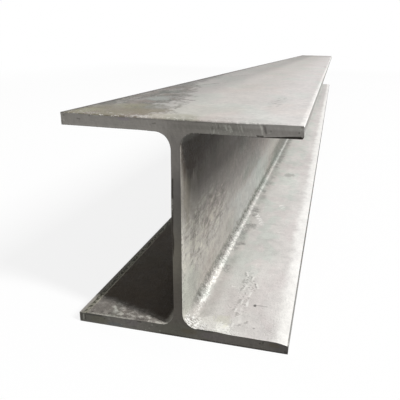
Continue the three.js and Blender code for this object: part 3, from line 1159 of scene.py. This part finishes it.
        # Painted contact shadow along the bottom edge.
        self.tint(z.ramp(2.2, 1) * x.ramp(-60, -20), 0.78, 0.77, 0.76)
        return self.colour

    def web(self):
        """The web's cut face, with two dark smears down its left edge."""
        x, z = self.x, self.z
        self.colour = self.gradient(z, (16, 102, 98, 91), (36, 97, 92, 85), (84, 119, 115, 105),
                                    (124, 110, 107, 102), (144, 112, 109, 106), (170, 141, 137, 132))
        at_left = (x + self.uprights.sway(0.6)).ramp(-2.5, -3.3)
        long_smear = at_left * (z + self.clouds.sway(4)).band(103, 15, 9)
        self.paint(long_smear * self.at_front * 0.9, 52, 48, 42)
        at_left = (x + self.uprights.sway(0.5)).ramp(-2, -2.9)
        short_smear = at_left * (z + self.clouds.sway(3)).band(143, 8, 4)
        self.paint(short_smear * self.at_front * 0.85, 60, 57, 52)
        specks = ((x + self.grain.sway(0.5)).ramp(-2.6, -3.6) * z.band(130, 4, 3)
                  * self.grain.ramp(0.44, 0.54))
        self.paint(specks * self.at_front * 0.8, 160, 158, 152)
        return self.colour

    def build(self):
        x, z = self.x, self.z
        below = self.mix(z.ramp(9.5, 17), self.lower_flange(), self.web())
        self.colour = self.mix(z.ramp(185, 193), below, self.upper_flange())

        # Where the saw ran slanted: fine scratches right of the middle of the upper flange.
        slant = x + z * 0.36
        scratches = self.maths("SINE", slant * (2 * math.pi / 2.9)).ramp(0.55, 0.95)
        scratched = slant.band(116, 14, 8) * z.ramp(190, 193) * self.at_front
        scratches = scratches * scratched * self.grain.ramp(0.4, 0.56)
        self.paint(scratches * 0.35, 186, 186, 177)

        # Darker smears, more of them towards the bottom.
        low_smears = self.smears.ramp(0.56, 0.66) * z.ramp(60, 12, 0.08, 0.35)
        self.paint(low_smears, 70, 69, 64)
        unevenness = (self.clouds.sway(0.07) + self.uprights.sway(0.06)
                      + self.grain.sway(0.05) + self.smears.sway(0.05))
        self.tone(unevenness * z.ramp(150, 20, 0.5, 1) + CUT_SHADE)
        relief = self.clouds + self.grain * 0.4 + self.uprights * 0.5
        return self.steel(0.55 + self.clouds.sway(0.08), 0.1, relief, 0.3, specular=0.2)


# ---------------------------------------------------------------- floor, light and camera

WORLD_LIGHT = 0.24           # strength of the soft light from all round
WORLD_SLOPE = 0.15           # how much stronger it is from the right than from straight above
LAMP_DISTANCE = 20.0
KEY_LIGHT = 3.56             # watts per square metre on a face turned to the key lamp
KEY_ELEVATION = 42.0         # degrees above the floor
KEY_TOWARDS_FRONT = 17.6     # degrees from +X towards the camera's side, seen from the front end
KEY_SIZE = (5.0, 22.0)       # degrees across and up that the lamp's panel fills
FILL_LIGHT = 1.0             # the same for a low fill lamp, for the left-hand channel
FILL_ELEVATION = 5.0
FILL_TOWARDS_FRONT = 195.0
FILL_SIZE = (9.0, 6.0)


def build_world():
    """A pale sky that looks white everywhere and lights softly, a little more from the right."""
    world = bpy.data.worlds.new("studio")
    bpy.context.scene.world = world
    world.use_nodes = True
    nodes = Nodes(world.node_tree)
    direction = nodes.made("ShaderNodeTexCoord", "Generated", {})
    light = nodes.made("ShaderNodeSeparateXYZ", "X", {0: direction}) * WORLD_SLOPE + WORLD_LIGHT
    strength = light + nodes.seen_directly() * (1 - light)
    background = world.node_tree.nodes["Background"]
    background.inputs["Color"].default_value = (1, 1, 1, 1)
    world.node_tree.links.new(strength.socket, background.inputs["Strength"])


FLOOR_SIZE = 60.0
FLOOR_WHITENESS = 0.85       # share of the floor's look that is plain white, which thins the shadow
FLOOR_BOUNCE = 0.25          # how pale it is for the light that it throws on the beam
FLOOR_GAP = 0.2 * MM         # how far it lies below the beam, so that their faces never coincide
SHADOW_REACH = 1.2           # how far from the beam the floor keeps its shadow
SHADOW_FADE = 2.0            # and over how much further it turns plain white


def build_floor():
    """A wide pale floor that looks nearly white and keeps the beam's shadow."""
    data = bpy.data.meshes.new("floor")
    half = FLOOR_SIZE / 2
    data.from_pydata([(-half, -half, 0), (half, -half, 0), (half, half, 0), (-half, half, 0)], [],
                     [(0, 1, 2, 3)])
    floor = bpy.data.objects.new("floor", data)
    bpy.context.scene.collection.objects.link(floor)
    floor.location.z = -FLOOR_GAP

    shader = Shader("pale_floor")
    seen = shader.seen_directly()
    shade = shader.mix(seen, (FLOOR_BOUNCE, FLOOR_BOUNCE, FLOOR_BOUNCE, 1), (1, 1, 1, 1))
    matt = shader.made("ShaderNodeBsdfDiffuse", 0, {"Color": shade})
    white = shader.made("ShaderNodeEmission", 0, {})
    beyond = abs(shader.x) | abs(shader.y) - length_mm / 2
    whiteness = beyond.ramp(SHADOW_REACH / MM, (SHADOW_REACH + SHADOW_FADE) / MM, FLOOR_WHITENESS, 1.0)
    both = shader.made("ShaderNodeMixShader", 0, {0: seen * whiteness, 1: matt, 2: white})
    data.materials.append(shader.finish(both))


def build_lamp(name, target, strength, elevation, towards_front, size):
    """A soft box far off, turned to the target and placed by its angles there."""
    light = bpy.data.lights.new(name, "AREA")
    light.shape = "RECTANGLE"
    light.size, light.size_y = (2 * LAMP_DISTANCE * math.tan(math.radians(angle / 2)) for angle in size)
    # The power at which a panel so far off gives that strength.
    light.energy = strength * math.pi * LAMP_DISTANCE ** 2
    lamp = bpy.data.objects.new(name, light)
    bpy.context.scene.collection.objects.link(lamp)
    up = math.radians(elevation)
    turn = math.radians(towards_front)
    source = Vector((math.cos(up) * math.cos(turn), -math.cos(up) * math.sin(turn), math.sin(up)))
    lamp.location = target + source * LAMP_DISTANCE
    lamp.rotation_euler = source.to_track_quat("Z", "Y").to_euler()
    lamp.visible_camera = False


IMAGE_SIZE = 400             # pixels across the square picture
FOCAL_PIXELS = 446.33
AXIS_PIXEL = Vector((226.12, 194.09))   # where the lens axis meets the picture
CAMERA_PLACE = Vector((117.91 * MM, -334.65 * MM, 258.44 * MM))  # from the middle of the front end
CAMERA_TURN = -12.6917       # degrees, towards +X when positive
CAMERA_TILT = -18.4247       # degrees, up when positive
CAMERA_ROLL = 1.1870
SENSOR = 36.0


def build_camera():
    """A camera just right of the beam's front end, looking down along it."""
    lens = bpy.data.cameras.new("camera")
    lens.sensor_width = SENSOR
    lens.lens = SENSOR * FOCAL_PIXELS / IMAGE_SIZE
    lens.shift_x = 0.5 - AXIS_PIXEL.x / IMAGE_SIZE
    lens.shift_y = AXIS_PIXEL.y / IMAGE_SIZE - 0.5
    lens.clip_start = 0.01
    lens.clip_end = 100
    camera = bpy.data.objects.new("camera", lens)
    bpy.context.scene.collection.objects.link(camera)
    turn, tilt, roll = (math.radians(angle) for angle in (CAMERA_TURN, CAMERA_TILT, CAMERA_ROLL))
    ahead = Vector((math.sin(turn) * math.cos(tilt), math.cos(turn) * math.cos(tilt), math.sin(tilt)))
    level_right = Vector((math.cos(turn), -math.sin(turn), 0))
    level_up = level_right.cross(ahead)
    right = level_right * math.cos(roll) + level_up * math.sin(roll)
    up = level_up * math.cos(roll) - level_right * math.sin(roll)
    facing = Matrix((right, up, -ahead)).transposed().to_4x4()
    camera.matrix_world = Matrix.Translation(CAMERA_PLACE + Vector((0, front_y, 0))) @ facing
    bpy.context.scene.camera = camera


# ---------------------------------------------------------------- the scene

build_camera()
build_world()
build_floor()
build_lamp("key", Vector((0, front_y, 0)), KEY_LIGHT, KEY_ELEVATION, KEY_TOWARDS_FRONT, KEY_SIZE)
build_lamp("fill", Vector((0, 0, 0)), FILL_LIGHT, FILL_ELEVATION, FILL_TOWARDS_FRONT, FILL_SIZE)

beam = build_beam()
# In the order of the numbers TOP, RIGHT, LEFT and SAWN.
for steel in (TopSteel("top_steel"), RightSteel("right_channel_steel"),
              LeftSteel("left_channel_steel"), CutSteel("sawn_steel")):
    beam.data.materials.append(steel.build())
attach(beam, "root")
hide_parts("i_beam")

bpy.context.scene.view_settings.view_transform = "Standard"
